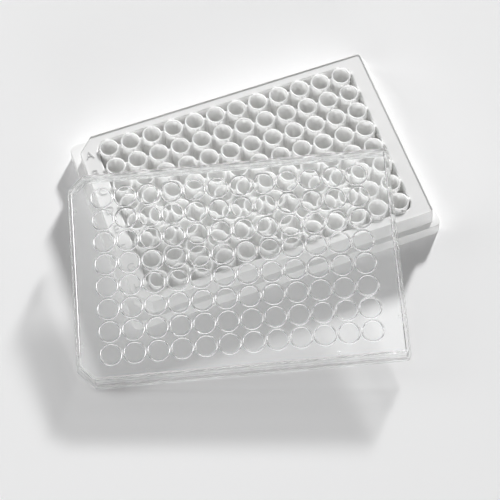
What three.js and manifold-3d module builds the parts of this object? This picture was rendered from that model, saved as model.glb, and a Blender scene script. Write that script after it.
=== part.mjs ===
// A 96-well plate in white plastic, with its clear lid taken off and leaning on one side.
//
// Both pieces are single mouldings. The plate is a thin shell: an outer flange, an upper
// body that is set in from it, a flat deck, and a recess in the deck in which the wells stand
// as round chimneys on a flat sheet, tied to each other by small webs. The lid is a shallow
// tray. It rests on three points: a well rim, the front edge of the deck, and its own front
// left corner on the table.
//
// Units are millimetres, +Z is up, +X runs along the columns and +Y towards the first row.
// The origin is at the middle of the whole object's footprint, on the table.

import * as THREE from 'three';
import { mergeVertices } from 'three/addons/utils/BufferGeometryUtils.js';
import Module from 'manifold-3d';

const wasm = await Module();
wasm.setup();

// Overall size of the plate
const FOOTPRINT_LENGTH = 127.76;
const FOOTPRINT_WIDTH = 85.48;
const PLATE_HEIGHT = 14.35;
const FLANGE_HEIGHT = 6.1;
const FLANGE_RADIUS = 3.18;

// Upper body: how far its walls stand in from the footprint
const SIDE_INSET = 3.0;
const FRONT_INSET_TOP = 3.0;
const FRONT_INSET_FOOT = 2.2;
const BODY_CORNER_CUT = 6.0;

// Walls of the shell
const FLANGE_WALL = 1.3;
const BODY_WALL = 1.3;
const LEDGE_THICKNESS = 1.3;
const DECK_THICKNESS = 1.2;

// Wells
const COLUMNS = 12;
const ROWS = 8;
const WELL_PITCH = 9.0;
const WELL_SPACING = 1.2;
const WELL_WALL = 0.65;
const WELL_DEPTH = 10.9;
const WELL_SIDES = 10;
const RIM_PROUD = 0.78;
const WEB_WIDTH = 1.2;

// Deck and recess
const BEAD_WIDTH = 0.5;
const BEAD_HEIGHT = 0.35;
const RECESS_GAP = 0.6;
const RECESS_WALL = 1.2;
const SHEET_THICKNESS = 1.2;

// Lid: how far it stays inside the footprint at each end and side, then its own sizes
const LID_END_INSET = 0.58;
const LID_SIDE_INSET = 0.49;
const LID_WALL = 1.0;
const LID_SHEET = 1.2;
const LID_STEP = 0.9;
const LID_BAND_HEIGHT = 3.5;
const LID_CORNER_CUT = 6.6;
const LID_CORNER_RADIUS = 2.0;
const LID_HEADROOM = 0.25;
const RIDGE_OVERRUN = 0.2;
const RIDGE_WIDTH = 1.1;
const RIDGE_HEIGHT = 0.5;
const SPACER_SIZE = 1.2;
const SPACER_HEIGHT = 0.6;
const SPACER_INSET = 1.3;
const SPACER_ROWS_OUT = 3;
const SPACER_COLUMNS_OUT = 4;

// Where the lid lies: the middle of its rim seen from above, its turn, and the gap it keeps.
// The share says how far out from a well's middle its rim carries the lid's back wall.
const LID_X = -19.65;
const LID_Y = -35.75;
const LID_TURN = THREE.MathUtils.degToRad(-15.1);
const REST_GAP = 0.3;
const RIM_CONTACT_SHARE = 0.4;

// How solids are made: how deep one bites into the next, how far a cut runs on past it, the
// least that a corner cut keeps, how close two corners are one, and the passes for the lid
const BITE = 0.3;
const OVERCUT = 1.0;
const LEAST_CUT = 0.1;
const WELD_DISTANCE = 1e-5;
const LEAST_TRIANGLE = 1.0;
const CORNER_SEGMENTS = 3;
const SETTLING_PASSES = 40;

// Sizes that follow from those above
const WELL_OUTER = WELL_PITCH - WELL_SPACING;
const WELL_BORE = WELL_OUTER - 2 * WELL_WALL;
const DECK_EDGE_Z = PLATE_HEIGHT - RIM_PROUD;
const DECK_Z = DECK_EDGE_Z - BEAD_HEIGHT;
const SHEET_TOP_Z = PLATE_HEIGHT - WELL_DEPTH;
const SHEET_BOTTOM_Z = SHEET_TOP_Z - SHEET_THICKNESS;
const BODY_LENGTH = FOOTPRINT_LENGTH - 2 * SIDE_INSET;
const BODY_WIDTH_TOP = FOOTPRINT_WIDTH - 2 * FRONT_INSET_TOP;
const BODY_WIDTH_FOOT = FOOTPRINT_WIDTH - 2 * FRONT_INSET_FOOT;
const FIELD_LENGTH = (COLUMNS - 1) * WELL_PITCH + WELL_OUTER;
const FIELD_WIDTH = (ROWS - 1) * WELL_PITCH + WELL_OUTER;
const RECESS_LENGTH = FIELD_LENGTH + 2 * RECESS_GAP;
const RECESS_WIDTH = FIELD_WIDTH + 2 * RECESS_GAP;
const RECESS_RADIUS = WELL_OUTER / 2 + RECESS_GAP;
const LID_LENGTH = FOOTPRINT_LENGTH - 2 * LID_END_INSET;
const LID_WIDTH = FOOTPRINT_WIDTH - 2 * LID_SIDE_INSET;
const LID_DEPTH = PLATE_HEIGHT - FLANGE_HEIGHT + LID_HEADROOM;
const LID_HEIGHT = LID_DEPTH + LID_SHEET;
const RIDGE_LENGTH = (ROWS - 1) * WELL_PITCH + 2 * RIDGE_OVERRUN;

/** Turn a closed three.js geometry into a solid. */
function solidOf(geometry) {
  const bare = geometry.index ? geometry.toNonIndexed() : geometry.clone();
  bare.deleteAttribute('normal');
  bare.deleteAttribute('uv');
  const merged = mergeVertices(bare, WELD_DISTANCE);
  const mesh = new wasm.Mesh({
    numProp: 3,
    vertProperties: new Float32Array(merged.attributes.position.array),
    triVerts: new Uint32Array(merged.index.array),
  });
  return new wasm.Manifold(mesh);
}

/** Turn a solid back into a three.js geometry. */
function geometryOf(solid) {
  const mesh = solid.getMesh();
  const geometry = new THREE.BufferGeometry();
  geometry.setAttribute('position', new THREE.BufferAttribute(mesh.vertProperties, 3));
  geometry.setIndex(new THREE.BufferAttribute(mesh.triVerts, 1));
  geometry.computeVertexNormals();
  return geometry;
}

/** Join a list of solids into one. */
function joined(solids) {
  return solids.reduce((whole, piece) => whole.add(piece));
}

/** An upright prism of a plan shape, from one height to another. */
function prism(shape, bottom, top) {
  const geometry = new THREE.ExtrudeGeometry(shape, {
    depth: top - bottom,
    bevelEnabled: false,
    curveSegments: CORNER_SEGMENTS,
  });
  return solidOf(geometry.translate(0, 0, bottom));
}

/** A rectangle about the middle, with the same radius at each corner. */
function roundedPlan(length, width, radius) {
  const x = length / 2 - radius;
  const y = width / 2 - radius;
  const shape = new THREE.Shape();
  shape.moveTo(-x, -y - radius);
  shape.absarc(x, -y, radius, -Math.PI / 2, 0);
  shape.absarc(x, y, radius, 0, Math.PI / 2);
  shape.absarc(-x, y, radius, Math.PI / 2, Math.PI);
  shape.absarc(-x, -y, radius, Math.PI, 1.5 * Math.PI);
  return shape;
}

/** A rectangle about the middle, its left corners cut at 45 degrees, its right ones rounded. */
function cutPlan(length, width, cut, rightRadius = 0) {
  const x = length / 2;
  const y = width / 2;
  const shape = new THREE.Shape();
  shape.moveTo(-x + cut, -y);
  if (rightRadius > 0) {
    shape.lineTo(x - rightRadius, -y);
    shape.absarc(x - rightRadius, -y + rightRadius, rightRadius, -Math.PI / 2, 0);
    shape.absarc(x - rightRadius, y - rightRadius, rightRadius, 0, Math.PI / 2);
  } else {
    shape.lineTo(x, -y);
    shape.lineTo(x, y);
  }
  shape.lineTo(-x + cut, y);
  shape.lineTo(-x, y - cut);
  shape.lineTo(-x, -y + cut);
  return shape;
}

/** How much a 45 degree corner cut shortens when its outline is set in by a wall. */
function cutInside(cut, wall) {
  return Math.max(cut - wall * (2 - Math.SQRT2), LEAST_CUT);
}

/** A block with its base and top of different widths, its section drawn across Y and Z. */
function draftedBlock(length, widthBottom, widthTop, bottom, top) {
  const section = new THREE.Shape();
  section.moveTo(-widthBottom / 2, bottom);
  section.lineTo(widthBottom / 2, bottom);
  section.lineTo(widthTop / 2, top);
  section.lineTo(-widthTop / 2, top);
  const geometry = new THREE.ExtrudeGeometry(section, { depth: length, bevelEnabled: false });
  geometry.translate(0, 0, -length / 2);
  geometry.applyMatrix4(new THREE.Matrix4().makeBasis(
    new THREE.Vector3(0, 1, 0),
    new THREE.Vector3(0, 0, 1),
    new THREE.Vector3(1, 0, 0),
  ));
  return solidOf(geometry);
}

/** A box given by its size, its middle in plan, and its bottom height. */
function block(length, width, height, x, y, bottom) {
  const geometry = new THREE.BoxGeometry(length, width, height);
  return solidOf(geometry.translate(x, y, bottom + height / 2));
}

/** An upright round post with flat sides, as large in area as its true circle. */
function post(diameter, bottom, top, x, y) {
  const step = (2 * Math.PI) / WELL_SIDES;
  const radius = (diameter / 2) * Math.sqrt(step / Math.sin(step));
  const geometry = new THREE.CylinderGeometry(radius, radius, top - bottom, WELL_SIDES);
  geometry.rotateX(Math.PI / 2);
  geometry.rotateZ(step / 2);
  return solidOf(geometry.translate(x, y, (bottom + top) / 2));
}

/** The middle of each well in plan, first row at the back. */
function wellCentres() {
  const centres = [];
  for (let row = 0; row < ROWS; row += 1) {
    for (let column = 0; column < COLUMNS; column += 1) {
      centres.push([
        (column - (COLUMNS - 1) / 2) * WELL_PITCH,
        ((ROWS - 1) / 2 - row) * WELL_PITCH,
      ]);
    }
  }
  return centres;
}

/** The plate's outer form: the flange, and the upper body that stands on it. */
function plateOutside() {
  const flange = prism(
    roundedPlan(FOOTPRINT_LENGTH, FOOTPRINT_WIDTH, FLANGE_RADIUS),
    0,
    FLANGE_HEIGHT,
  );
  const body = draftedBlock(
    BODY_LENGTH,
    BODY_WIDTH_FOOT,
    BODY_WIDTH_TOP,
    FLANGE_HEIGHT,
    DECK_EDGE_Z,
  );
  const plan = cutPlan(BODY_LENGTH, BODY_WIDTH_FOOT, BODY_CORNER_CUT);
  const trimmed = body.intersect(prism(plan, FLANGE_HEIGHT, DECK_EDGE_Z));
  const inside = cutPlan(
    BODY_LENGTH - 2 * BEAD_WIDTH,
    BODY_WIDTH_TOP - 2 * BEAD_WIDTH,
    cutInside(BODY_CORNER_CUT, BEAD_WIDTH),
  );
  return flange.add(trimmed).subtract(prism(inside, DECK_Z, DECK_EDGE_Z + OVERCUT));
}

/** The hollow under the plate, open below. */
function plateHollow() {
  const ceiling = DECK_Z - DECK_THICKNESS;
  const flange = prism(
    roundedPlan(
      FOOTPRINT_LENGTH - 2 * FLANGE_WALL,
      FOOTPRINT_WIDTH - 2 * FLANGE_WALL,
      FLANGE_RADIUS - FLANGE_WALL,
    ),
    -OVERCUT,
    FLANGE_HEIGHT - LEDGE_THICKNESS,
  );
  const body = draftedBlock(
    BODY_LENGTH - 2 * BODY_WALL,
    BODY_WIDTH_FOOT - 2 * BODY_WALL,
    BODY_WIDTH_TOP - 2 * BODY_WALL,
    0,
    ceiling,
  );
  const plan = cutPlan(
    BODY_LENGTH - 2 * BODY_WALL,
    BODY_WIDTH_FOOT - 2 * BODY_WALL,
    cutInside(BODY_CORNER_CUT, BODY_WALL),
  );
  return flange.add(body.intersect(prism(plan, 0, ceiling)));
}

/** The one-piece plate. */
function makePlate() {
  const tub = prism(
    roundedPlan(
      RECESS_LENGTH + 2 * RECESS_WALL,
      RECESS_WIDTH + 2 * RECESS_WALL,
      RECESS_RADIUS + RECESS_WALL,
    ),
    SHEET_BOTTOM_Z,
    DECK_Z - BITE,
  );
  const recess = prism(
    roundedPlan(RECESS_LENGTH, RECESS_WIDTH, RECESS_RADIUS),
    SHEET_TOP_Z,
    PLATE_HEIGHT + OVERCUT,
  );
  const centres = wellCentres();
  const foot = SHEET_TOP_Z - BITE;
  const tubes = centres.map(([x, y]) => post(WELL_OUTER, foot, PLATE_HEIGHT, x, y));
  const bores = centres.map(([x, y]) => (
    post(WELL_BORE, SHEET_TOP_Z, PLATE_HEIGHT + OVERCUT, x, y)
  ));
  const webHeight = DECK_Z - foot;
  const webs = [];
  for (let row = 0; row < ROWS; row += 1) {
    const y = ((ROWS - 1) / 2 - row) * WELL_PITCH;
    webs.push(block(RECESS_LENGTH + 2 * BITE, WEB_WIDTH, webHeight, 0, y, foot));
  }
  for (let column = 0; column < COLUMNS; column += 1) {
    const x = (column - (COLUMNS - 1) / 2) * WELL_PITCH;
    webs.push(block(WEB_WIDTH, RECESS_WIDTH + 2 * BITE, webHeight, x, 0, foot));
  }
  const shell = plateOutside().subtract(plateHollow()).add(tub).subtract(recess);
  return shell.add(joined(tubes).add(joined(webs))).subtract(joined(bores));
}

/** The one-piece lid, with its rim on z = 0 and its top face up. */
function makeLid() {
  const upperLength = LID_LENGTH - 2 * LID_STEP;
  const upperWidth = LID_WIDTH - 2 * LID_STEP;
  const upperCut = cutInside(LID_CORNER_CUT, LID_STEP);
  const upperRadius = LID_CORNER_RADIUS - LID_STEP;
  const band = prism(
    cutPlan(LID_LENGTH, LID_WIDTH, LID_CORNER_CUT, LID_CORNER_RADIUS),
    0,
    LID_BAND_HEIGHT,
  );
  const cap = prism(cutPlan(upperLength, upperWidth, upperCut, upperRadius), 0, LID_HEIGHT);
  const bandHollow = prism(
    cutPlan(
      LID_LENGTH - 2 * LID_WALL,
      LID_WIDTH - 2 * LID_WALL,
      cutInside(LID_CORNER_CUT, LID_WALL),
    ),
    -OVERCUT,
    LID_BAND_HEIGHT - LID_WALL,
  );
  const capHollow = prism(
    cutPlan(
      upperLength - 2 * LID_WALL,
      upperWidth - 2 * LID_WALL,
      cutInside(upperCut, LID_WALL),
    ),
    -OVERCUT,
    LID_DEPTH,
  );
  const extras = [];
  for (const side of [-1, 1]) {
    const ridgeX = side * (upperLength - RIDGE_WIDTH) / 2;
    const ridgeZ = LID_HEIGHT - BITE;
    extras.push(block(RIDGE_WIDTH, RIDGE_LENGTH, RIDGE_HEIGHT + BITE, ridgeX, 0, ridgeZ));
    for (const end of [-1, 1]) {
      const spacerZ = LID_DEPTH - SPACER_HEIGHT;
      const tall = SPACER_HEIGHT + BITE;
      const sideX = side * (upperLength / 2 - LID_WALL - SPACER_INSET);
      const sideY = end * SPACER_ROWS_OUT * WELL_PITCH;
      const endX = side * SPACER_COLUMNS_OUT * WELL_PITCH;
      const endY = end * (upperWidth / 2 - LID_WALL - SPACER_INSET);
      extras.push(block(SPACER_SIZE, SPACER_SIZE, tall, sideX, sideY, spacerZ));
      extras.push(block(SPACER_SIZE, SPACER_SIZE, tall, endX, endY, spacerZ));
    }
  }
  return band.add(cap).subtract(bandHollow).subtract(capHollow).add(joined(extras));
}

/** The three levels of the plate, each with its size in plan, from the top one down. */
const LEVELS = [
  { length: FIELD_LENGTH, width: FIELD_WIDTH, height: PLATE_HEIGHT },
  { length: BODY_LENGTH, width: BODY_WIDTH_TOP, height: DECK_EDGE_Z },
  { length: FOOTPRINT_LENGTH, width: FOOTPRINT_WIDTH, height: FLANGE_HEIGHT },
];

/** How high the plate stands at a point in plan, or 0 off the plate. */
function heightUnder(x, y) {
  const level = LEVELS.find(({ length, width }) => (
    Math.abs(x) < length / 2 && Math.abs(y) < width / 2
  ));
  return level ? level.height : 0;
}

/** The lines across the plate that may carry a wall of the lid which runs along one axis. */
function carriers(alongX) {
  const wells = alongX ? COLUMNS : ROWS;
  const found = LEVELS.slice(1).map(({ length, width, height }) => (
    { line: (alongX ? length : width) / 2, reach: (alongX ? width : length) / 2, height }
  ));
  for (let well = 0; well < wells; well += 1) {
    const middle = (well - (wells - 1) / 2) * WELL_PITCH;
    found.push({
      line: middle + RIM_CONTACT_SHARE * WELL_OUTER,
      reach: (alongX ? FIELD_WIDTH : FIELD_LENGTH) / 2,
      height: PLATE_HEIGHT,
    });
  }
  return found.flatMap((carrier) => [carrier, { ...carrier, line: -carrier.line }]);
}

/** Where a wall of the lid, given by its middle and the axis it runs along, crosses a line. */
function crossing(place, wallMiddle, axis, line) {
  const start = wallMiddle.clone().applyMatrix4(place);
  const run = new THREE.Vector3(axis === 'x' ? 1 : 0, axis === 'y' ? 1 : 0, 0);
  run.transformDirection(place);
  const distance = (line - start[axis]) / run[axis];
  return { point: start.addScaledVector(run, distance), distance: Math.abs(distance) };
}

/** The points that hold the lid's rim plane up at a trial place of the lid. */
function supports(place, slope) {
  const innerX = LID_LENGTH / 2 - LID_WALL;
  const innerY = LID_WIDTH / 2 - LID_WALL;
  const found = [];
  for (const side of [-1, 1]) {
    for (const end of [-1, 1]) {
      const cut = side < 0 ? LID_CORNER_CUT : 0;
      const ends = [
        new THREE.Vector3(side * (LID_LENGTH / 2 - cut), end * LID_WIDTH / 2, 0),
        new THREE.Vector3(side * LID_LENGTH / 2, end * (LID_WIDTH / 2 - cut), 0),
      ];
      for (const corner of ends.map((point) => point.applyMatrix4(place))) {
        found.push(corner.setZ(heightUnder(corner.x, corner.y) + REST_GAP));
      }
    }
    for (const axis of ['x', 'y']) {
      const alongX = axis === 'x';
      const across = alongX ? 'y' : 'x';
      const middle = new THREE.Vector3(alongX ? 0 : side * innerX, alongX ? side * innerY : 0, 0);
      for (const { line, reach, height } of carriers(alongX)) {
        const { point, distance } = crossing(place, middle, axis, line);
        if (distance < (alongX ? innerX : innerY) && Math.abs(point[across]) < reach) {
          found.push(point.setZ(height + REST_GAP));
        }
      }
    }
  }
  const home = place.clone().invert();
  for (const { length, width, height } of LEVELS) {
    for (const [x, y] of [[-1, -1], [-1, 1], [1, -1], [1, 1]]) {
      const corner = new THREE.Vector3(x * length / 2, y * width / 2, height);
      const seen = corner.clone().applyMatrix4(home);
      if (Math.abs(seen.x) < innerX && Math.abs(seen.y) < innerY) {
        found.push(corner.setZ(height + REST_GAP - LID_DEPTH / slope));
      }
    }
  }
  return found;
}

/** The plane through three of the points that has the others under it and the middle inside. */
function carryingPlane(points, middle) {
  for (let i = 0; i < points.length; i += 1) {
    for (let j = i + 1; j < points.length; j += 1) {
      for (let k = j + 1; k < points.length; k += 1) {
        const chosen = [points[i], points[j], points[k]];
        const flat = chosen.map((point) => point.clone().setZ(0));
        const triangle = new THREE.Triangle(...flat);
        if (triangle.getArea() > LEAST_TRIANGLE && triangle.containsPoint(middle)) {
          const plane = new THREE.Plane().setFromCoplanarPoints(...chosen);
          if (plane.normal.z < 0) plane.negate();
          if (points.every((point) => plane.distanceToPoint(point) < WELD_DISTANCE)) return plane;
        }
      }
    }
  }
  throw new Error('nothing carries the lid at this place');
}

/**
 * Where the lid comes to rest. Its rim lies in one plane, which three points carry. With the
 * sizes above they are the lid's own front left corner on the table, a rim in the first column
 * of wells under its back wall, and the front edge of the deck under its right wall. The
 * points move a little as the lid tilts, so the plane is worked out until it settles.
 */
function restingPlace() {
  const middle = new THREE.Vector3(LID_X, LID_Y, 0);
  const place = new THREE.Matrix4().makeRotationZ(LID_TURN).setPosition(LID_X, LID_Y, 0);
  let slope = 1;
  for (let pass = 0; pass < SETTLING_PASSES; pass += 1) {
    const plane = carryingPlane(supports(place, slope), middle);
    const up = plane.normal;
    slope = up.z;
    const along = new THREE.Vector3(Math.cos(LID_TURN), Math.sin(LID_TURN), 0);
    along.addScaledVector(up, -along.dot(up)).normalize();
    const across = new THREE.Vector3().crossVectors(up, along);
    const middleZ = (-plane.constant - up.x * LID_X - up.y * LID_Y) / up.z;
    place.makeBasis(along, across, up).setPosition(LID_X, LID_Y, middleZ);
  }
  return place;
}

/** A named mesh of a solid in its own material. */
function piece(name, solid, material) {
  const mesh = new THREE.Mesh(geometryOf(solid), material);
  mesh.name = name;
  return mesh;
}

const whitePlastic = new THREE.MeshStandardMaterial({
  color: 0xe9e9e6,
  roughness: 0.45,
  metalness: 0,
});
const clearPlastic = new THREE.MeshStandardMaterial({
  color: 0xdfe3e4,
  roughness: 0.08,
  metalness: 0,
  transparent: true,
  opacity: 0.3,
});

const plate = piece('plate', makePlate(), whitePlastic);
const lid = piece('lid', makeLid(), clearPlastic);
restingPlace().decompose(lid.position, lid.quaternion, lid.scale);

const wellPlate = new THREE.Group();
wellPlate.name = 'well_plate';
wellPlate.add(plate, lid);
wellPlate.updateMatrixWorld(true);
const bounds = new THREE.Box3().setFromObject(wellPlate, true);
const middle = bounds.getCenter(new THREE.Vector3());
wellPlate.position.set(-middle.x, -middle.y, -bounds.min.z);
wellPlate.updateMatrixWorld(true);

export default wellPlate;
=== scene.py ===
"""Looks of a 96-well plate in white plastic, with its clear lid taken off and leaning on it.

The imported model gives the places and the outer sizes. The plate is one white moulding: flange,
upper body, deck with a low bead, recess, wells and webs. The lid is one clear moulding: sheet,
stepped skirt, ridges, spacers and a ring over each well. Shapes are made in millimetres about
their own middle, and are scaled and placed in the model's frame when they are finished.
"""

import logging
import math
from dataclasses import dataclass, field
from enum import Enum
from typing import Callable, Iterable, Sequence

import bmesh
import bpy
from bpy.types import Material, Mesh, Node, NodeSocket, NodeTree, Object, World
from mathutils import Matrix, Vector


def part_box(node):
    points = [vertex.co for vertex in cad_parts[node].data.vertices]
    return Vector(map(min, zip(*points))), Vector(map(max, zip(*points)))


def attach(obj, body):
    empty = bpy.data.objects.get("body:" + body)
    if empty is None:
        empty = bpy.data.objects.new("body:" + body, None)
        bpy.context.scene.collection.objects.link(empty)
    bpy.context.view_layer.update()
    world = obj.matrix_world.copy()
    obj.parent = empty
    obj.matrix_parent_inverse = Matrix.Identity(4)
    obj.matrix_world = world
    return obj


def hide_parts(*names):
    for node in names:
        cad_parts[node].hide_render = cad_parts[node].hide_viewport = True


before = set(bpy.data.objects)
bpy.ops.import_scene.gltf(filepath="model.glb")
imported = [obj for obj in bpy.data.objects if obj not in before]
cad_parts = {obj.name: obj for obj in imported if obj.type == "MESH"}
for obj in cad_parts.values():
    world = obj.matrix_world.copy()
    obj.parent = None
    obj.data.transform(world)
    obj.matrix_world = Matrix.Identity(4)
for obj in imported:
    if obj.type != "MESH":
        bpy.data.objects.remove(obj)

logging.basicConfig(level=logging.INFO, format="%(message)s")
log = logging.getLogger("well_plate")

MM = 0.001
FULL_TURN = 2 * math.pi
# Corners closer than WELD are one, and an upright edge leans by MOST_LEAN at most (millimetres).
WELD = 1e-4
MOST_LEAN = 2.0
# How much the cut of a corner shrinks for each millimetre that the walls move in.
CUT_SHRINK = 2 - math.sqrt(2)
# Normals steeper than UPWARD look up, and two that share less than SQUARE_ON are square.
UPWARD = 0.5
SQUARE_ON = 0.01
BODY = "root"
PLATE_NODE = "plate"
LID_NODE = "lid"

Colour = tuple[float, float, float, float]
Profile = Sequence[tuple[float, float]]


class Joining(Enum):
    """How one solid is put together with another."""

    ADD = "UNION"
    CUT = "DIFFERENCE"


class Side(Enum):
    """Which uprights of a block are meant, by the sign of their X."""

    LEFT = -1
    RIGHT = 1
    BOTH = 0


# ---- Solids ----


class Solid:
    """A closed solid under construction, in millimetres."""

    def __init__(self, bm: bmesh.types.BMesh) -> None:
        """Take over a bmesh.

        Args:
            bm: the mesh to build on.
        """
        self.bm = bm

    @classmethod
    def block(cls, size: tuple[float, float], bottom: float, top: float) -> "Solid":
        """Make an upright block about the Z axis.

        Args:
            size: length along X and width along Y.
            bottom: height of its lower face.
            top: height of its upper face.

        Returns:
            The block.
        """
        bm = bmesh.new()
        bmesh.ops.create_cube(bm, size=1.0)
        bmesh.ops.scale(bm, vec=(size[0], size[1], top - bottom), verts=bm.verts)
        bmesh.ops.translate(bm, vec=(0.0, 0.0, (top + bottom) / 2), verts=bm.verts)
        return cls(bm)

    @classmethod
    def turned(cls, profile: Profile, steps: int, closed: bool = False) -> "Solid":
        """Spin a profile about the Z axis.

        Args:
            profile: points as radius and height; an open one starts and ends on the axis.
            steps: faces round the full turn.
            closed: whether the profile is a loop that stays clear of the axis.

        Returns:
            The turned solid.
        """
        bm = bmesh.new()
        points = [bm.verts.new((radius, 0.0, height)) for radius, height in profile]
        edges = [bm.edges.new(pair) for pair in zip(points, points[1:])]
        if closed:
            edges.append(bm.edges.new((points[-1], points[0])))
        bmesh.ops.spin(
            bm,
            geom=points + edges,
            cent=(0, 0, 0),
            axis=(0, 0, 1),
            angle=FULL_TURN,
            steps=steps,
            use_merge=True,
        )
        solid = cls(bm)
        solid.clean()
        return solid

    def clean(self) -> "Solid":
        """Merge doubles and turn every face outwards.

        Returns:
            This solid.
        """
        bmesh.ops.remove_doubles(self.bm, verts=self.bm.verts, dist=WELD)
        bmesh.ops.dissolve_degenerate(self.bm, edges=self.bm.edges, dist=WELD / 10)
        bmesh.ops.recalc_face_normals(self.bm, faces=self.bm.faces)
        return self

    def _bevel(self, edges: list[bmesh.types.BMEdge], reach: float, segments: int) -> "Solid":
        """Bevel some edges.

        Args:
            edges: the edges to round or cut.
            reach: how far the bevel goes in from each edge.
            segments: 1 for a flat cut, more for a round.

        Returns:
            This solid.
        """
        bmesh.ops.bevel(
            self.bm,
            geom=edges,
            offset=reach,
            offset_type="OFFSET",
            affect="EDGES",
            segments=segments,
            profile=0.5,
            material=-1,
        )
        return self

    def round_uprights(self, side: Side, reach: float, segments: int = 1) -> "Solid":
        """Cut or round the corners of a block in plan.

        Args:
            side: which corners.
            reach: offset of the bevel along each wall.
            segments: 1 for a flat cut, more for a round.

        Returns:
            This solid.
        """
        chosen = []
        for edge in self.bm.edges:
            a, b = (v.co for v in edge.verts)
            upright = abs(a.z - b.z) > WELD and a.x * b.x > 0 and a.y * b.y > 0
            level = abs(a.x - b.x) > WELD or abs(a.y - b.y) > MOST_LEAN
            if upright and not level and (side is Side.BOTH or a.x * side.value > 0):
                chosen.append(edge)
        return self._bevel(chosen, reach, segments)

    def round_level(self, height: float, reach: float, segments: int = 2) -> "Solid":
        """Round all edges that lie at one height.

        Args:
            height: height of the edges.
            reach: offset of the bevel.
            segments: faces across the round.

        Returns:
            This solid.
        """
        chosen = [
            edge
            for edge in self.bm.edges
            if all(abs(v.co.z - height) < WELD for v in edge.verts)
        ]
        return self._bevel(chosen, reach, segments)

    def taper(self, height: float, factors: tuple[float, float]) -> "Solid":
        """Scale the corners at one height in plan.

        Args:
            height: height of the corners.
            factors: scale along X and Y.

        Returns:
            This solid.
        """
        chosen = [v for v in self.bm.verts if abs(v.co.z - height) < WELD]
        bmesh.ops.scale(self.bm, vec=(factors[0], factors[1], 1.0), verts=chosen)
        return self

    def placed(self, matrix: Matrix) -> "Solid":
        """Transform the whole solid.

        Args:
            matrix: the transform.

        Returns:
            This solid.
        """
        bmesh.ops.transform(self.bm, matrix=matrix, verts=self.bm.verts)
        return self

    def repeated(self, places: Iterable[tuple[float, float]]) -> "Solid":
        """Copy the solid to several places in plan, in the stead of the first one.

        Args:
            places: shift of each copy along X and Y.

        Returns:
            This solid.
        """
        first = list(self.bm.verts) + list(self.bm.edges) + list(self.bm.faces)
        for x, y in places:
            made = bmesh.ops.duplicate(self.bm, geom=first)["geom"]
            corners = [g for g in made if isinstance(g, bmesh.types.BMVert)]
            bmesh.ops.translate(self.bm, vec=(x, y, 0.0), verts=corners)
        old = [g for g in first if isinstance(g, bmesh.types.BMVert)]
        bmesh.ops.delete(self.bm, geom=old, context="VERTS")
        return self

    def joined(self, other: "Solid", how: Joining) -> "Solid":
        """Put another solid to this one.

        Args:
            other: the second solid, which is used up.
            how: add or cut.

        Returns:
            This solid.
        """
        base = _linked("base", _mesh_of("base", self.bm))
        tool = _linked("tool", _mesh_of("tool", other.bm))
        carve = base.modifiers.new("carve", "BOOLEAN")
        carve.operation = how.value
        carve.solver = "MANIFOLD"
        carve.object = tool
        graph = bpy.context.evaluated_depsgraph_get()
        result = bpy.data.meshes.new_from_object(base.evaluated_get(graph))
        if not result.polygons:
            raise RuntimeError("joining two solids left nothing")
        self.bm.clear()
        self.bm.from_mesh(result)
        other.bm.free()
        for thing in (base, tool):
            mesh = thing.data
            bpy.data.objects.remove(thing)
            bpy.data.meshes.remove(mesh)
        bpy.data.meshes.remove(result)
        return self

    def add(self, other: "Solid") -> "Solid":
        """Join another solid on."""
        return self.joined(other, Joining.ADD)

    def cut(self, other: "Solid") -> "Solid":
        """Take another solid away."""
        return self.joined(other, Joining.CUT)


def _linked(name: str, data: object) -> Object:
    """Put a mesh, lamp, camera or curve in an object that is linked to the scene.

    Args:
        name: name of the object.
        data: what it holds.

    Returns:
        The object.
    """
    thing = bpy.data.objects.new(name, data)
    bpy.context.scene.collection.objects.link(thing)
    return thing


def _mesh_of(name: str, bm: bmesh.types.BMesh) -> Mesh:
    """Write a bmesh to a new mesh."""
    mesh = bpy.data.meshes.new(name)
    bm.to_mesh(mesh)
    return mesh


def quarter_round(
    middle: tuple[float, float], radius: float, start: float, end: float, steps: int
) -> list[tuple[float, float]]:
    """Points of an arc in a profile.

    Args:
        middle: middle of the arc as radius and height.
        radius: radius of the arc.
        start: angle of the first point in degrees, 0 outwards and 90 up.
        end: angle of the last point in degrees.
        steps: chords along the arc.

    Returns:
        The points, both ends included.
    """
    points = []
    for step in range(steps + 1):
        angle = math.radians(start + (end - start) * step / steps)
        points.append((middle[0] + radius * math.cos(angle), middle[1] + radius * math.sin(angle)))
    return points


def finished_piece(
    name: str,
    solid: Solid,
    place: Matrix,
    materials: Sequence[Material],
    node: str | None,
    sharp_above: float,
) -> Object:
    """Turn a solid into a piece of the object, smooth and in its place.

    Args:
        name: name of the piece.
        solid: the solid, in millimetres about its own middle.
        place: where that middle lies in the model's frame, in metres.
        materials: its materials, in the order of its faces' indices.
        node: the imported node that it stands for, if any.
        sharp_above: angle in degrees from which an edge stays sharp.

    Returns:
        The piece.
    """
    solid.placed(place @ Matrix.Scale(MM, 4))
    mesh = _mesh_of(name, solid.bm)
    solid.bm.free()
    mesh.polygons.foreach_set("use_smooth", [True] * len(mesh.polygons))
    mesh.set_sharp_from_angle(angle=math.radians(sharp_above))
    for material in materials:
        mesh.materials.append(material)
    thing = _linked(name, mesh)
    normals = thing.modifiers.new("even_normals", "WEIGHTED_NORMAL")
    normals.keep_sharp = True
    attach(thing, BODY)
    if node is not None:
        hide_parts(node)
    log.info("%s: %d faces", name, len(mesh.polygons))
    return thing


# ---- Finishes ----


def _wire(tree: NodeTree, source: object, target: object) -> None:
    """Link one socket to another."""
    tree.links.new(source, target)


def _set(node: Node, values: dict[str, object]) -> Node:
    """Set some of a node's inputs.

    Args:
        node: the node.
        values: what to set, by the inputs' names.

    Returns:
        The node.
    """
    for name, value in values.items():
        node.inputs[name].default_value = value
    return node


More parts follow.
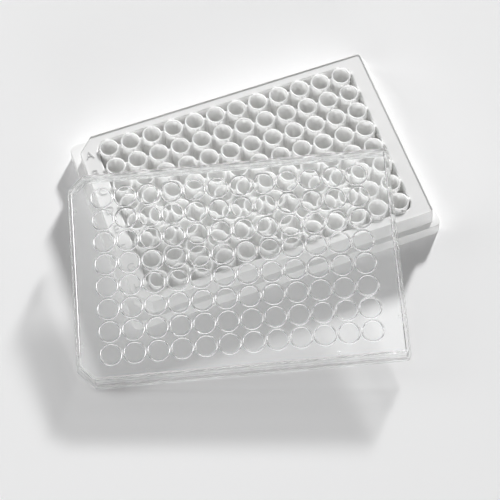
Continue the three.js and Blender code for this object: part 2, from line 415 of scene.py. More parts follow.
def _node(tree: NodeTree, kind: str, values: dict[str, object] | None = None) -> Node:
    """Add a node of one kind, with some of its inputs set."""
    return _set(tree.nodes.new(kind), values or {})


@dataclass(frozen=True)
class MouldedSurface:
    """The shared group for what a moulding tool and handling leave on plastic."""

    name: str = "moulded surface"
    flow_detail: float = 2.0
    flow_distortion: float = 0.6
    grain_detail: float = 3.0
    grain_roughness: float = 0.6
    scratch_detail: float = 4.0
    scratch_turn: float = 0.5
    scratch_stretch: float = 0.12
    scratch_rarity: tuple[float, float] = (0.58, 0.72)

    def tree(self) -> NodeTree:
        """Build the group once.

        Returns:
            The group's node tree.
        """
        made = bpy.data.node_groups.get(self.name)
        if made is not None:
            return made
        tree = bpy.data.node_groups.new(self.name, "ShaderNodeTree")
        sockets = tree.interface
        sockets.new_socket("Position", in_out="INPUT", socket_type="NodeSocketVector")
        for title in ("Flow Scale", "Grain Scale", "Scratch Scale"):
            sockets.new_socket(title, in_out="INPUT", socket_type="NodeSocketFloat")
        for title in ("Flow", "Grain", "Scratches"):
            sockets.new_socket(title, in_out="OUTPUT", socket_type="NodeSocketFloat")
        into = _node(tree, "NodeGroupInput")
        out = _node(tree, "NodeGroupOutput")
        flow = _node(
            tree,
            "ShaderNodeTexNoise",
            {
                "Detail": self.flow_detail,
                "Distortion": self.flow_distortion,
            },
        )
        grain = _node(
            tree,
            "ShaderNodeTexNoise",
            {
                "Detail": self.grain_detail,
                "Roughness": self.grain_roughness,
            },
        )
        stretch = _node(
            tree,
            "ShaderNodeMapping",
            {
                "Rotation": (0.0, 0.0, self.scratch_turn),
                "Scale": (self.scratch_stretch, 1.0, 1.0),
            },
        )
        scratch = _node(tree, "ShaderNodeTexNoise", {"Detail": self.scratch_detail})
        for texture, title in ((flow, "Flow"), (grain, "Grain"), (scratch, "Scratch")):
            _wire(tree, into.outputs[f"{title} Scale"], texture.inputs["Scale"])
        for pattern in (flow, grain, stretch):
            _wire(tree, into.outputs["Position"], pattern.inputs["Vector"])
        _wire(tree, stretch.outputs["Vector"], scratch.inputs["Vector"])
        rare = _ranged(tree, scratch.outputs["Fac"], 0.0, 1.0, *self.scratch_rarity)
        _wire(tree, flow.outputs["Fac"], out.inputs["Flow"])
        _wire(tree, grain.outputs["Fac"], out.inputs["Grain"])
        _wire(tree, rare, out.inputs["Scratches"])
        return tree


@dataclass(frozen=True)
class SurfaceScales:
    """How fine the shared surface pattern is, in patterns per metre."""

    flow: float
    grain: float
    scratch: float


def _new_material(name: str) -> tuple[Material, NodeTree]:
    """Start a node material with a shader and an output only.

    Args:
        name: name of the material.

    Returns:
        The material and its node tree.
    """
    material = bpy.data.materials.new(name)
    material.use_nodes = True
    return material, material.node_tree


def _surface_nodes(tree: NodeTree, scales: SurfaceScales) -> Node:
    """Place the shared surface group on Object coordinates.

    Args:
        tree: the material's node tree.
        scales: how fine its pattern is.

    Returns:
        The group node.
    """
    place = _node(tree, "ShaderNodeTexCoord")
    group = _node(tree, "ShaderNodeGroup")
    group.node_tree = MouldedSurface().tree()
    _set(group, {
        "Flow Scale": scales.flow,
        "Grain Scale": scales.grain,
        "Scratch Scale": scales.scratch,
    })
    _wire(tree, place.outputs["Object"], group.inputs["Position"])
    return group


def _ranged(
    tree: NodeTree,
    source: object,
    low: float,
    high: float,
    start: float = 0.0,
    end: float = 1.0,
) -> NodeSocket:
    """Map a value to a range.

    Args:
        tree: the material's node tree.
        source: the value's socket.
        low: what the start and all below it becomes.
        high: what the end and all above it becomes.
        start: lower end of the values that are mapped.
        end: upper end of the values that are mapped.

    Returns:
        The socket with the mapped value.
    """
    node = _node(
        tree,
        "ShaderNodeMapRange",
        {
            "From Min": start,
            "From Max": end,
            "To Min": low,
            "To Max": high,
        },
    )
    _wire(tree, source, node.inputs["Value"])
    return node.outputs["Result"]


def _blend_of(tree: NodeTree, factor: object, first: Colour, second: Colour) -> NodeSocket:
    """Mix two colours by a value.

    Args:
        tree: the material's node tree.
        factor: the value's socket.
        first: the colour at 0.
        second: the colour at 1.

    Returns:
        The socket with the mixed colour.
    """
    mix = _node(tree, "ShaderNodeMix")
    mix.data_type = "RGBA"
    mix.inputs[6].default_value = first
    mix.inputs[7].default_value = second
    _wire(tree, factor, mix.inputs["Factor"])
    return mix.outputs[2]


def _bumped(tree: NodeTree, height: object, strength: float, depth_mm: float) -> NodeSocket:
    """Turn a height into a normal.

    Args:
        tree: the material's node tree.
        height: the height's socket.
        strength: how much of it shows.
        depth_mm: height that 1 stands for, in millimetres.

    Returns:
        The socket with the normal.
    """
    bump = _node(tree, "ShaderNodeBump", {"Strength": strength, "Distance": depth_mm * MM})
    _wire(tree, height, bump.inputs["Height"])
    return bump.outputs["Normal"]


@dataclass(frozen=True)
class WhitePolystyrene:
    """White moulded plastic with a satin face, into which light goes a little where it is thin."""

    name: str
    glow_mm: float = 0.0
    colour: Colour = (0.955, 0.955, 0.95, 1.0)
    flow_colour: Colour = (0.97, 0.97, 0.965, 1.0)
    ior: float = 1.59
    roughness: float = 0.36
    scuffed_roughness: float = 0.52
    scales: SurfaceScales = SurfaceScales(flow=60.0, grain=2600.0, scratch=420.0)
    grain_depth_mm: float = 0.01
    grain_strength: float = 0.25

    def material(self) -> Material:
        """Build the material.

        Returns:
            The material.
        """
        material, tree = _new_material(self.name)
        shader = tree.nodes["Principled BSDF"]
        _set(shader, {
            "IOR": self.ior,
            "Subsurface Weight": 1.0 if self.glow_mm else 0.0,
            "Subsurface Radius": (1.0, 1.0, 1.0),
            "Subsurface Scale": self.glow_mm * MM,
        })
        group = _surface_nodes(tree, self.scales)
        flow, grain = group.outputs["Flow"], group.outputs["Grain"]
        tint = _blend_of(tree, flow, self.colour, self.flow_colour)
        _wire(tree, tint, shader.inputs["Base Color"])
        rough = _ranged(tree, group.outputs["Scratches"], self.roughness, self.scuffed_roughness)
        _wire(tree, rough, shader.inputs["Roughness"])
        normal = _bumped(tree, grain, self.grain_strength, self.grain_depth_mm)
        _wire(tree, normal, shader.inputs["Normal"])
        return material


@dataclass(frozen=True)
class ClearPolystyrene:
    """Clear glossy moulded plastic, which takes away more light the flatter that light falls."""

    name: str
    clarity: float = 1.0
    tint: Colour = (0.985, 0.99, 0.99, 1.0)
    ior: float = 1.585
    roughness: float = 0.0
    scuffed_roughness: float = 0.06
    scales: SurfaceScales = SurfaceScales(flow=35.0, grain=900.0, scratch=260.0)
    flow_depth_mm: float = 0.002
    flow_strength: float = 0.3
    head_on_loss: float = 0.055
    grazing_power: float = 5.4

    def material(self) -> Material:
        """Build the material.

        Returns:
            The material.
        """
        material, tree = _new_material(self.name)
        shader = tree.nodes["Principled BSDF"]
        _set(shader, {
            "Base Color": self.tint,
            "IOR": self.ior,
            "Transmission Weight": self.clarity,
        })
        group = _surface_nodes(tree, self.scales)
        rough = _ranged(tree, group.outputs["Scratches"], self.roughness, self.scuffed_roughness)
        _wire(tree, rough, shader.inputs["Roughness"])
        normal = _bumped(tree, group.outputs["Flow"], self.flow_strength, self.flow_depth_mm)
        _wire(tree, normal, shader.inputs["Normal"])
        through = _node(tree, "ShaderNodeBsdfTransparent")
        _wire(tree, self._passed_light(tree), through.inputs["Color"])
        path = _node(tree, "ShaderNodeLightPath")
        shown = shader.outputs["BSDF"]
        for ray in ("Is Diffuse Ray", "Is Shadow Ray"):
            mix = _node(tree, "ShaderNodeMixShader")
            _wire(tree, path.outputs[ray], mix.inputs["Fac"])
            _wire(tree, shown, mix.inputs[1])
            _wire(tree, through.outputs["BSDF"], mix.inputs[2])
            shown = mix.outputs["Shader"]
        _wire(tree, shown, tree.nodes["Material Output"].inputs["Surface"])
        return material

    def _passed_light(self, tree: NodeTree) -> NodeSocket:
        """What share of a lamp's light each face lets through, by the angle it falls at.

        Args:
            tree: the material's node tree.

        Returns:
            The socket with the share as a grey.
        """
        weight = _node(tree, "ShaderNodeLayerWeight", {"Blend": 0.5})
        power = _node(tree, "ShaderNodeMath")
        power.operation = "POWER"
        power.inputs[1].default_value = self.grazing_power
        _wire(tree, weight.outputs["Facing"], power.inputs[0])
        head_on = (1.0 - self.head_on_loss,) * 3 + (1.0,)
        grazing = (0.0, 0.0, 0.0, 1.0)
        return _blend_of(tree, power.outputs["Value"], head_on, grazing)


@dataclass(frozen=True)
class PaleSurface:
    """The plain pale table that the object stands on."""

    colour: Colour = (0.945, 0.945, 0.947, 1.0)
    second_colour: Colour = (0.96, 0.96, 0.962, 1.0)
    roughness: float = 0.7
    specular: float = 0.2
    scale: float = 3.0

    def material(self) -> Material:
        """Build the material.

        Returns:
            The material.
        """
        material, tree = _new_material("pale surface")
        shader = tree.nodes["Principled BSDF"]
        _set(shader, {
            "Roughness": self.roughness,
            "Specular IOR Level": self.specular,
        })
        place = _node(tree, "ShaderNodeTexCoord")
        noise = _node(tree, "ShaderNodeTexNoise", {"Scale": self.scale})
        _wire(tree, place.outputs["Object"], noise.inputs["Vector"])
        tint = _blend_of(tree, noise.outputs["Fac"], self.colour, self.second_colour)
        _wire(tree, tint, shader.inputs["Base Color"])
        return material


DECK_WHITE = WhitePolystyrene("white polystyrene")
# The wells, webs and sheet are the same white plastic, in a lighter copy: painted light that
# brightens the wells' insides, on top of the real glow through their thin walls.
WELL_WHITE_PAINTED_LIGHTER = WhitePolystyrene(
    "white polystyrene, thin walls, painted lighter",
    glow_mm=2.0,
    colour=(0.985, 0.985, 0.98, 1.0),
    flow_colour=(0.99, 0.99, 0.985, 1.0),
)
# The letters are the plate's own white plastic, in a grey copy: painted shade that stands for the
# dark shading along their strokes.
LETTER_PAINTED_SHADE = WhitePolystyrene(
    "white polystyrene, painted shade", colour=(0.7, 0.7, 0.7, 1.0), flow_colour=(0.74, 0.74, 0.74, 1.0)
)
SHEET_CLEAR = ClearPolystyrene("clear polystyrene")
SKIRT_CLEAR = ClearPolystyrene("clear polystyrene, scuffed", clarity=0.82)


# ---- The plate ----


@dataclass
class WellGrid:
    """Where the wells are: 8 rows of 12, 9 mm apart, about the plate's middle."""

    columns: int = 12
    rows: int = 8
    pitch: float = 9.0

    def column_x(self, column: int) -> float:
        """The X of a column, counted from 0 at the left."""
        return (column - (self.columns - 1) / 2) * self.pitch

    def row_y(self, row: int) -> float:
        """The Y of a row, counted from 0 at the back."""
        return ((self.rows - 1) / 2 - row) * self.pitch

    def places(self) -> list[tuple[float, float]]:
        """The middle of every well in plan."""
        return [
            (self.column_x(column), self.row_y(row))
            for row in range(self.rows)
            for column in range(self.columns)
        ]


@dataclass
class Plate:
    """The white moulding, with the wells' rims as its highest faces."""

    length: float
    width: float
    height: float
    grid: WellGrid = field(default_factory=WellGrid)
    flange_height: float = 6.1
    flange_radius: float = 3.18
    flange_edge_round: float = 0.35
    side_inset: float = 3.0
    front_inset_top: float = 3.0
    front_inset_foot: float = 2.2
    body_corner_cut: float = 6.0
    body_corner_radius: float = 1.2
    body_edge_round: float = 0.1
    wall: float = 1.3
    deck_thickness: float = 1.2
    rim_proud: float = 0.78
    bead_width: float = 0.3
    bead_height: float = 0.35
    recess_radius: float = 4.5
    recess_wall: float = 1.2
    recess_lip: float = 0.4
    well_depth: float = 10.9
    sheet_thickness: float = 1.2
    well_outer: float = 7.8
    well_bore: float = 6.5
    rim_round: float = 0.2
    floor_round: float = 0.8
    web_width: float = 1.2
    web_drop: float = 0.55
    web_round: float = 0.2
    sides: int = 40
    bite: float = 0.3
    overcut: float = 1.0
    sharp_above: float = 35.0

    def __post_init__(self) -> None:
        """Work out the heights that follow from the sizes."""
        self.deck_edge = self.height - self.rim_proud
        self.deck = self.deck_edge - self.bead_height
        self.sheet_top = self.height - self.well_depth
        self.sheet_bottom = self.sheet_top - self.sheet_thickness
        self.body_length = self.length - 2 * self.side_inset
        self.body_width_top = self.width - 2 * self.front_inset_top
        self.body_width_foot = self.width - 2 * self.front_inset_foot
        self.recess_length = self.grid.columns * self.grid.pitch
        self.recess_width = self.grid.rows * self.grid.pitch

    def _body_block(self, inset: float, top: float, round_top: bool) -> Solid:
        """The upper body, or the hollow in it.

        Args:
            inset: how far its walls stand in from the outer ones.
            top: height of its upper face.
            round_top: whether its top edges and right corners are rounded.

        Returns:
            The block, from the foot of the flange up.
        """
        foot = self.body_width_foot - 2 * inset
        length = self.body_length - 2 * inset
        low = self.flange_height - self.bite if round_top else 0.0
        block = Solid.block((length, foot), low, top)
        block.taper(top, (1.0, (self.body_width_top - 2 * inset) / foot))
        cut = self.body_corner_cut - inset * CUT_SHRINK
        block.round_uprights(Side.LEFT, cut)
        if round_top:
            block.round_uprights(Side.RIGHT, self.body_corner_radius, 3)
            block.round_level(top, self.body_edge_round)
        return block

    def _shell(self) -> Solid:
        """The flange and the upper body as a thin shell, with the pan inside the bead.

        Returns:
            The shell.
        """
        flange = Solid.block((self.length, self.width), 0.0, self.flange_height)
        flange.round_uprights(Side.BOTH, self.flange_radius, 8)
        flange.round_level(self.flange_height, self.flange_edge_round, 3)
        flange.add(self._body_block(0.0, self.deck_edge, True))
        pan = Solid.block(
            (self.body_length - 2 * self.bead_width, self.body_width_top - 2 * self.bead_width),
            self.deck,
            self.height + self.overcut,
        )
        pan.round_uprights(Side.LEFT, self.body_corner_cut - self.bead_width * CUT_SHRINK)
        pan.round_uprights(Side.RIGHT, self.body_corner_radius - self.bead_width, 3)
        flange.cut(pan)
        hollow = Solid.block(
            (self.length - 2 * self.wall, self.width - 2 * self.wall),
            -self.overcut,
            self.flange_height - self.wall,
        )
        hollow.round_uprights(Side.BOTH, self.flange_radius - self.wall, 6)
        flange.cut(hollow)
        flange.cut(self._body_block(self.wall, self.deck - self.deck_thickness, False))
        return flange

    def _recess(self) -> Solid:
        """The space that is cut out for the wells, with a small lip round its mouth.

        Returns:
            The space.
        """
        space = Solid.block(
            (self.recess_length, self.recess_width), self.sheet_top, self.deck - self.recess_lip
        )
        space.round_uprights(Side.BOTH, self.recess_radius, 10)
        top = max(space.bm.faces, key=lambda face: face.calc_center_median().z)
        rise = self.recess_lip
        for widen in (1.0, 0.0):
            made = bmesh.ops.extrude_face_region(space.bm, geom=[top])["geom"]
            corners = [g for g in made if isinstance(g, bmesh.types.BMVert)]
            bmesh.ops.delete(space.bm, geom=[top], context="FACES_ONLY")
            bmesh.ops.translate(space.bm, vec=(0.0, 0.0, rise), verts=corners)
            grow = tuple(
                1.0 + widen * 2 * self.recess_lip / size
                for size in (self.recess_length, self.recess_width)
            )
            bmesh.ops.scale(space.bm, vec=(grow[0], grow[1], 1.0), verts=corners)
            top = next(g for g in made if isinstance(g, bmesh.types.BMFace))
            rise = self.height + self.overcut - self.deck
        return space.clean()

    def _tub(self) -> Solid:
        """The recess's own wall and sheet, before the space is cut out.

        Returns:
            The tub.
        """
        size = (
            self.recess_length + 2 * self.recess_wall,
            self.recess_width + 2 * self.recess_wall,
        )
        tub = Solid.block(size, self.sheet_bottom, self.deck - self.bite)
        return tub.round_uprights(Side.BOTH, self.recess_radius + self.recess_wall, 8)

    def _tubes(self) -> Solid:
        """The wells' outer walls, solid inside.

        Returns:
            All the tubes.
        """
        radius = self.well_outer / 2
        top = quarter_round(
            (radius - self.rim_round, self.height - self.rim_round), self.rim_round, 90, 0, 3
        )
        foot = self.sheet_top - self.bite
        profile = [(0.0, self.height), *top, (radius, foot), (0.0, foot)]
        return Solid.turned(profile, self.sides).repeated(self.grid.places())

    def _bores(self) -> Solid:
        """The wells' inner space, with a flared mouth and a rounded foot.

        Returns:
            All the bores.
        """
        radius = self.well_bore / 2
        foot = quarter_round(
            (radius - self.floor_round, self.sheet_top + self.floor_round),
            self.floor_round,
            -90,
            0,
            4,
        )
        mouth = quarter_round(
            (radius + self.rim_round, self.height - self.rim_round), self.rim_round, 180, 90, 3
        )
        top = self.height + self.overcut
        profile = [(0.0, self.sheet_top), *foot, *mouth, (mouth[-1][0], top), (0.0, top)]
        return Solid.turned(profile, self.sides).repeated(self.grid.places())

    def _webs(self, along_x: bool) -> Solid:
        """The bars that tie the wells to each other and to the recess.

        Args:
            along_x: whether they run along X, one for each row, or along Y.

        Returns:
            All the bars of that direction.
        """
        reach = self.bite * 2
        foot, top = self.sheet_top - self.bite, self.height - self.web_drop
        if along_x:
            size = (self.recess_length + reach, self.web_width)
            places = [(0.0, self.grid.row_y(row)) for row in range(self.grid.rows)]
        else:
            size = (self.web_width, self.recess_width + reach)
            places = [(self.grid.column_x(column), 0.0) for column in range(self.grid.columns)]
        bar = Solid.block(size, foot, top).round_level(top, self.web_round)
        return bar.repeated(places)

    def _is_thin_painted_lighter(self, point: Vector) -> bool:
        """Whether a point lies in the recess or on its wall, where the plastic is thin and takes
        the lighter copy of the white that paints light into the wells.
        """
        return (
            abs(point.x) < self.recess_length / 2 + WELD
            and abs(point.y) < self.recess_width / 2 + WELD
            and point.z > self.sheet_bottom + WELD
        )

    def build(
        self, place: Matrix, thick: Material, thin: Material
    ) -> Object:
        """Make the plate.

        Args:
            place: where its middle lies in the model's frame.
            thick: the plastic of the flange, body and deck.
            thin: the plastic of the wells, webs and sheet, a lighter copy of the white that paints
                light into the wells.

        Returns:
            The piece.
        """
        body = self._shell()
        body.add(self._tub()).cut(self._recess())
        body.add(self._tubes()).add(self._webs(True)).add(self._webs(False))
        body.cut(self._bores())
        # Faces in the recess take the lighter copy of the white, which paints light into the
        # wells.
        for face in body.bm.faces:
            face.material_index = int(all(self._is_thin_painted_lighter(corner.co) for corner in face.verts))
        return finished_piece(
            "plate_moulding",
            body,
            place,
            [thick, thin],
            PLATE_NODE,
            self.sharp_above,
        )


@dataclass
class RowLetters:
    """The raised letters A to H on the deck, one by each row."""

    x: float = -57.75
    size: float = 5.0
    height: float = 0.22
    sunk: float = 0.1
    thin: float = 0.05
    curve_steps: int = 4

    def build(
        self, plate: Plate, place: Matrix, material: Material
    ) -> Object:
        """Make the letters as one piece.

        Args:
            plate: the plate that they stand on.
            place: where the plate's middle lies in the model's frame.
            material: its plastic, a grey copy of the white in which the shade along the strokes is
                painted.

        Returns:
            The piece.
        """
        whole = bmesh.new()
        for row in range(plate.grid.rows):
            text = bpy.data.curves.new("letter", "FONT")
            text.body = chr(ord("A") + row)
            text.size = self.size
            text.extrude = (self.height + self.sunk) / 2
            text.offset = -self.thin
            text.resolution_u = self.curve_steps
            holder = _linked("letter", text)
            graph = bpy.context.evaluated_depsgraph_get()
            mesh = bpy.data.meshes.new_from_object(holder.evaluated_get(graph))
            level = plate.deck + (self.height - self.sunk) / 2
            corners = [corner.co for corner in mesh.vertices]
            middle = (Vector(map(min, *corners)) + Vector(map(max, *corners))) / 2
            target = Vector((self.x, plate.grid.row_y(row), level))
            mesh.transform(Matrix.Translation(target - middle))
            whole.from_mesh(mesh)
            bpy.data.objects.remove(holder)
            bpy.data.curves.remove(text)
            bpy.data.meshes.remove(mesh)
        letters = Solid(whole).clean()
        return finished_piece(
            "row_letters", letters, place, [material], None, plate.sharp_above
        )


# ---- The lid ----


@dataclass
class Lid:
    """The clear lid, with its rim on z = 0 and its top face up."""

    length: float
    width: float
    height: float
    grid: WellGrid = field(default_factory=WellGrid)
    wall: float = 1.0
    sheet: float = 1.2
    step: float = 0.9
    band_height: float = 3.5
    corner_cut: float = 6.6
    corner_radius: float = 2.0
    edge_round: float = 0.5
    rim_round: float = 0.2
    ridge_length: float = 63.4
    ridge_width: float = 1.1
    ridge_height: float = 0.5
    spacer_size: float = 1.2
    spacer_height: float = 0.6
    spacer_inset: float = 1.3
    spacer_rows_out: int = 3
    spacer_columns_out: int = 4
    least_radius: float = 0.2
    ring_middle: float = 8.15
    ring_foot: float = 0.78
    ring_waist: float = 0.44
    ring_tip: float = 0.1
    ring_depth: float = 0.3
    ring_sides: int = 40
    bite: float = 0.3
    overcut: float = 1.0
    sharp_above: float = 40.0

    def __post_init__(self) -> None:
        """Work out the sizes that follow from the others."""
        self.cap_height = self.height - self.ridge_height
        self.depth = self.cap_height - self.sheet
        self.upper_length = self.length - 2 * self.step
        self.upper_width = self.width - 2 * self.step
        self.upper_cut = self.corner_cut - self.step * CUT_SHRINK

    def _tray(
        self, size: tuple[float, float], cut: float, radius: float, bottom: float, top: float
    ) -> Solid:
        """A block with cut left corners and rounded right ones.

        Args:
            size: length and width.
            cut: the cut of the left corners.
            radius: radius of the right corners.
            bottom: height of its lower face.
            top: height of its upper face.

        Returns:
            The block.
        """
        block = Solid.block(size, bottom, top)
        block.round_uprights(Side.LEFT, cut)
        return block.round_uprights(Side.RIGHT, max(radius, self.least_radius), 5)

    def _shell(self) -> Solid:
        """The sheet and the stepped skirt.

        Returns:
            The shell.
        """
        upper = (self.upper_length, self.upper_width)
        upper_radius = self.corner_radius - self.step
        band = self._tray(
            (self.length, self.width), self.corner_cut, self.corner_radius, 0.0, self.band_height
        )
        band.round_level(self.band_height, self.rim_round * 2, 2)
        band.round_level(0.0, self.rim_round, 2)
        cap = self._tray(upper, self.upper_cut, upper_radius, self.bite, self.cap_height)
        cap.round_level(self.cap_height, self.edge_round, 4)
        band.add(cap)
        inner = (self.length - 2 * self.wall, self.width - 2 * self.wall)
        cut = self.corner_cut - self.wall * CUT_SHRINK
        radius = self.corner_radius - self.wall
        band.cut(self._tray(inner, cut, radius, -self.overcut, self.band_height - self.wall))
        inner = (self.upper_length - 2 * self.wall, self.upper_width - 2 * self.wall)
        cut = self.upper_cut - self.wall * CUT_SHRINK
        radius = upper_radius - self.wall
        space = self._tray(inner, cut, radius, -self.overcut, self.depth)
        space.round_level(self.depth, self.edge_round, 3)
        return band.cut(space)

    def _rings(self) -> Solid:
        """The rings under the sheet, one over each well.

        Returns:
            All the rings.
        """
        middle, top = self.ring_middle / 2, self.depth + self.bite
        low = self.depth - self.ring_depth
        side = [
            (self.ring_foot / 2, top),
            (self.ring_foot / 2, self.depth),
            (self.ring_waist / 2, self.depth - self.ring_depth / 2),
            (self.ring_tip / 2, low + self.ring_tip / 3),
        ]
        profile = [(middle + reach, height) for reach, height in side]
        profile.append((middle, low))
        profile += [(middle - reach, height) for reach, height in reversed(side)]
        return Solid.turned(profile, self.ring_sides, closed=True).repeated(self.grid.places())

    def _ridges(self) -> Solid:
        """The low ridge along each end of the sheet.

        Returns:
            Both ridges.
        """
        x = (self.upper_length - self.ridge_width) / 2 - self.edge_round
        low = self.cap_height - self.bite
        ridge = Solid.block((self.ridge_width, self.ridge_length), low, self.height)
        ridge.round_level(self.height, self.rim_round, 2)
        return ridge.repeated([(-x, 0.0), (x, 0.0)])

    def _spacers(self) -> Solid:
        """The small pips that keep the sheet off the deck.

        Returns:
            All the pips.
        """
        pitch = self.grid.pitch
        x = self.upper_length / 2 - self.wall - self.spacer_inset
        y = self.upper_width / 2 - self.wall - self.spacer_inset
        places = []
        for end in (-1, 1):
            for side in (-1, 1):
                places.append((end * x, side * self.spacer_rows_out * pitch))
                places.append((end * self.spacer_columns_out * pitch, side * y))
        pip = Solid.block(
            (self.spacer_size, self.spacer_size),
            self.depth - self.spacer_height,
            self.depth + self.bite,
        )
        pip.round_uprights(Side.BOTH, self.spacer_size / 3, 2)
        pip.round_level(self.depth - self.spacer_height, self.rim_round, 2)
        return pip.repeated(places)

    def _is_skirt(self, point: Vector) -> bool:
        """Whether a point lies on the skirt, below the sheet."""
        return point.z < self.depth - WELD and not (
            abs(point.x) < self.upper_length / 2 - self.wall - WELD
            and abs(point.y) < self.upper_width / 2 - self.wall - WELD
        )

    def build(
        self, place: Matrix, clear: Material, scuffed: Material
    ) -> Object:
        """Make the lid.

        Args:
            place: where the middle of its rim lies in the model's frame.
            clear: the plastic of the sheet.
            scuffed: the plastic of the skirt.

        Returns:
            The piece.
        """
        body = self._shell()
        body.add(self._rings()).add(self._ridges()).add(self._spacers())
        for face in body.bm.faces:
            face.material_index = int(any(self._is_skirt(corner.co) for corner in face.verts))
        return finished_piece(
            "lid_moulding",
            body,
            place,
            [clear, scuffed],
            LID_NODE,
            self.sharp_above,
        )


# ---- Places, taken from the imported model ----


def plate_place() -> tuple[Matrix, Vector]:
    """Where the plate stands and how big it is.

    Returns:
        The place of its middle on the table, and its size in millimetres.
    """
    low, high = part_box(PLATE_NODE)
    middle = (low + high) / 2
    return Matrix.Translation((middle.x, middle.y, low.z)), (high - low) / MM


def lid_place() -> tuple[Matrix, Vector]:
    """Where the lid leans and how big it is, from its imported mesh.

    The widest faces that look up give its tilt, and its long walls give its turn.

    Returns:
        The place of the middle of its rim, and its size along its own axes in millimetres.
    """
    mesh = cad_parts[LID_NODE].data
    up = _widest_normal(mesh, lambda normal: normal.z > UPWARD)
    across = _widest_normal(
        mesh, lambda normal: abs(normal.dot(up)) < SQUARE_ON and normal.y > 0
    )
    along = across.cross(up).normalized()
    across = up.cross(along)
    turn = Matrix((along, across, up)).transposed()
    corners = [turn.transposed() @ vertex.co for vertex in mesh.vertices]
    low = Vector(map(min, *corners))
    high = Vector(map(max, *corners))
    middle = turn @ Vector(((low.x + high.x) / 2, (low.y + high.y) / 2, low.z))
    return Matrix.Translation(middle) @ turn.to_4x4(), (high - low) / MM


def _widest_normal(mesh: Mesh, wanted: Callable[[Vector], bool]) -> Vector:
    """The direction in which the largest total area of a mesh faces.

    Args:
        mesh: the mesh.
        wanted: which face normals are counted.

    Returns:
        The direction.
    """
    sums: dict[tuple[float, ...], Vector] = {}
    for face in mesh.polygons:
        if wanted(face.normal):
            key = tuple(round(part, 2) for part in face.normal)
            sums[key] = sums.get(key, Vector()) + face.normal * face.area
    return max(sums.values(), key=lambda total: total.length).normalized()


# ---- Floor, light and camera ----


@dataclass(frozen=True)
class SoftBox:
    """A round lamp that looks at a point, placed by its direction and distance."""

    name: str
    azimuth: float
    elevation: float
    distance: float
    size: float
    watts: float

    def build(self, target: Vector) -> Object:
        """Make the lamp.

        Args:
            target: the point that it looks at.

        Returns:
            The lamp.
        """
        lamp = bpy.data.lights.new(self.name, "AREA")
        lamp.shape = "DISK"
        lamp.size = self.size
        lamp.energy = self.watts
        holder = _linked(self.name, lamp)
        turn, rise = math.radians(self.azimuth), math.radians(self.elevation)
        towards = Vector(
            (math.cos(turn) * math.cos(rise), math.sin(turn) * math.cos(rise), math.sin(rise))
        )
        holder.location = target + towards * self.distance
        holder.rotation_euler = towards.to_track_quat("Z", "Y").to_euler()
        return holder


@dataclass(frozen=True)
class Studio:
    """The pale table, the lamps and the even light from all round."""

    table_size: float = 16.0
    sky: Colour = (1.0, 1.0, 1.0, 1.0)
    sky_strength: float = 0.066
    seen_strength: float = 1.0
    dark_strength: float = 0.05
    darkens: tuple[float, float] = (0.5, 0.85)
    lamps: tuple[SoftBox, ...] = (
        SoftBox("key", azimuth=48.0, elevation=22.0, distance=7.0, size=0.73, watts=655.0),
        SoftBox("low", azimuth=-95.0, elevation=9.0, distance=1.8, size=0.5, watts=8.2),
        SoftBox("left back", azimuth=145.0, elevation=30.0, distance=1.8, size=0.9, watts=7.5),
        SoftBox("left front", azimuth=-140.0, elevation=35.0, distance=1.8, size=0.9, watts=4.8),
        SoftBox("overhead", azimuth=90.0, elevation=82.0, distance=3.5, size=1.1, watts=4.7),
    )

    def build(self, target: Vector) -> None:
        """Make the table, the lamps and the world.

        Args:
            target: the point that the lamps look at.
        """
        bm = bmesh.new()
        bmesh.ops.create_grid(bm, x_segments=1, y_segments=1, size=self.table_size / 2)
        mesh = _mesh_of("table", bm)
        bm.free()
        mesh.materials.append(PaleSurface().material())
        table = _linked("table", mesh)
        for lamp in self.lamps:
            lamp.build(target)
        bpy.context.scene.world = self._world()

    def _lit_or(
        self,
        tree: NodeTree,
        ray: NodeSocket,
        usual: NodeSocket | None,
        seen: NodeSocket | None,
    ) -> NodeSocket:
        """Choose the world's strength for one kind of ray.

        Args:
            tree: the world's node tree.
            ray: 1 for the rays in question.
            usual: strength for all other rays; without it, that of the even light.
            seen: strength for the rays in question; without it, that of the pale background.

        Returns:
            The socket with the strength.
        """
        mix = _node(tree, "ShaderNodeMix")
        mix.inputs[2].default_value = self.sky_strength
        mix.inputs[3].default_value = self.seen_strength
        _wire(tree, ray, mix.inputs["Factor"])
        for source, slot in ((usual, 2), (seen, 3)):
            if source is not None:
                _wire(tree, source, mix.inputs[slot])
        return mix.outputs[0]

    def _world(self) -> World:
        """The even light from all round, which is seen pale but mirrored dark from overhead.

        Returns:
            The world.
        """
        world = bpy.data.worlds.new("studio")
        world.use_nodes = True
        tree = world.node_tree
        sky = tree.nodes["Background"]
        sky.inputs["Color"].default_value = self.sky
        where = _node(tree, "ShaderNodeTexCoord")
        split = _node(tree, "ShaderNodeSeparateXYZ")
        _wire(tree, where.outputs["Generated"], split.inputs["Vector"])
        mirrored = _ranged(
            tree, split.outputs["Z"], self.seen_strength, self.dark_strength, *self.darkens
        )
        path = _node(tree, "ShaderNodeLightPath")
        strength = self._lit_or(tree, path.outputs["Is Glossy Ray"], None, mirrored)
        strength = self._lit_or(tree, path.outputs["Is Transmission Ray"], strength, mirrored)
        strength = self._lit_or(tree, path.outputs["Is Camera Ray"], strength, None)
        _wire(tree, strength, sky.inputs["Strength"])
        return world


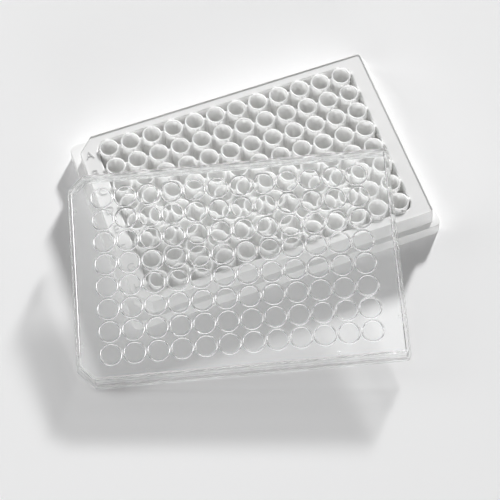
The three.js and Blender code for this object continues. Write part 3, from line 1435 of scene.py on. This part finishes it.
@dataclass(frozen=True)
class Viewpoint:
    """The camera, placed by the point that it looks at, its direction and its distance."""

    target_mm: tuple[float, float, float] = (-11.2275, -27.8773, 7.0)
    azimuth: float = -17.9516
    elevation: float = 61.3617
    roll: float = -2.0401
    distance_mm: float = 701.815
    lens: float = 129.4566
    sensor: float = 36.0
    clip: tuple[float, float] = (0.01, 20.0)

    def build(self, origin: Vector) -> Object:
        """Make the camera.

        Args:
            origin: the plate's middle on the table, from which the target is measured.

        Returns:
            The camera.
        """
        turn, rise = math.radians(self.azimuth), math.radians(self.elevation)
        back = Vector(
            (math.sin(turn) * math.cos(rise), -math.cos(turn) * math.cos(rise), math.sin(rise))
        )
        right = Vector((0, 0, 1)).cross(back).normalized()
        up = back.cross(right)
        tilt = math.radians(self.roll)
        right = right * math.cos(tilt) + up * math.sin(tilt)
        up = back.cross(right)
        lens = bpy.data.cameras.new("camera")
        lens.lens, lens.sensor_width = self.lens, self.sensor
        lens.clip_start, lens.clip_end = self.clip
        camera = _linked("camera", lens)
        place = origin + Vector(self.target_mm) * MM + back * self.distance_mm * MM
        turned = Matrix((right, up, back)).transposed().to_4x4()
        camera.matrix_world = Matrix.Translation(place) @ turned
        bpy.context.scene.camera = camera
        return camera


@dataclass(frozen=True)
class PlainView:
    """The plain view transform, and as many bounces as clear walls and white wells need."""

    most: int = 24
    diffuse: int = 16
    glossy: int = 20
    transmission: int = 20
    transparent: int = 32

    def use(self) -> None:
        """Set them on the scene."""
        scene = bpy.context.scene
        scene.view_settings.view_transform = "Standard"
        scene.cycles.max_bounces = self.most
        scene.cycles.diffuse_bounces = self.diffuse
        scene.cycles.glossy_bounces = self.glossy
        scene.cycles.transmission_bounces = self.transmission
        scene.cycles.transparent_max_bounces = self.transparent


def main() -> None:
    """Build the scene piece by piece."""
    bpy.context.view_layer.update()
    PlainView().use()
    standing, plate_size = plate_place()
    leaning, lid_size = lid_place()
    log.info("plate %s mm, lid %s mm", plate_size, lid_size)
    Viewpoint().build(standing.translation)
    Studio().build(standing.translation)
    plate = Plate(*plate_size)
    plate.build(standing, DECK_WHITE.material(), WELL_WHITE_PAINTED_LIGHTER.material())
    RowLetters().build(plate, standing, LETTER_PAINTED_SHADE.material())
    Lid(*lid_size).build(leaning, SHEET_CLEAR.material(), SKIRT_CLEAR.material())


if __name__ == "__main__":
    main()
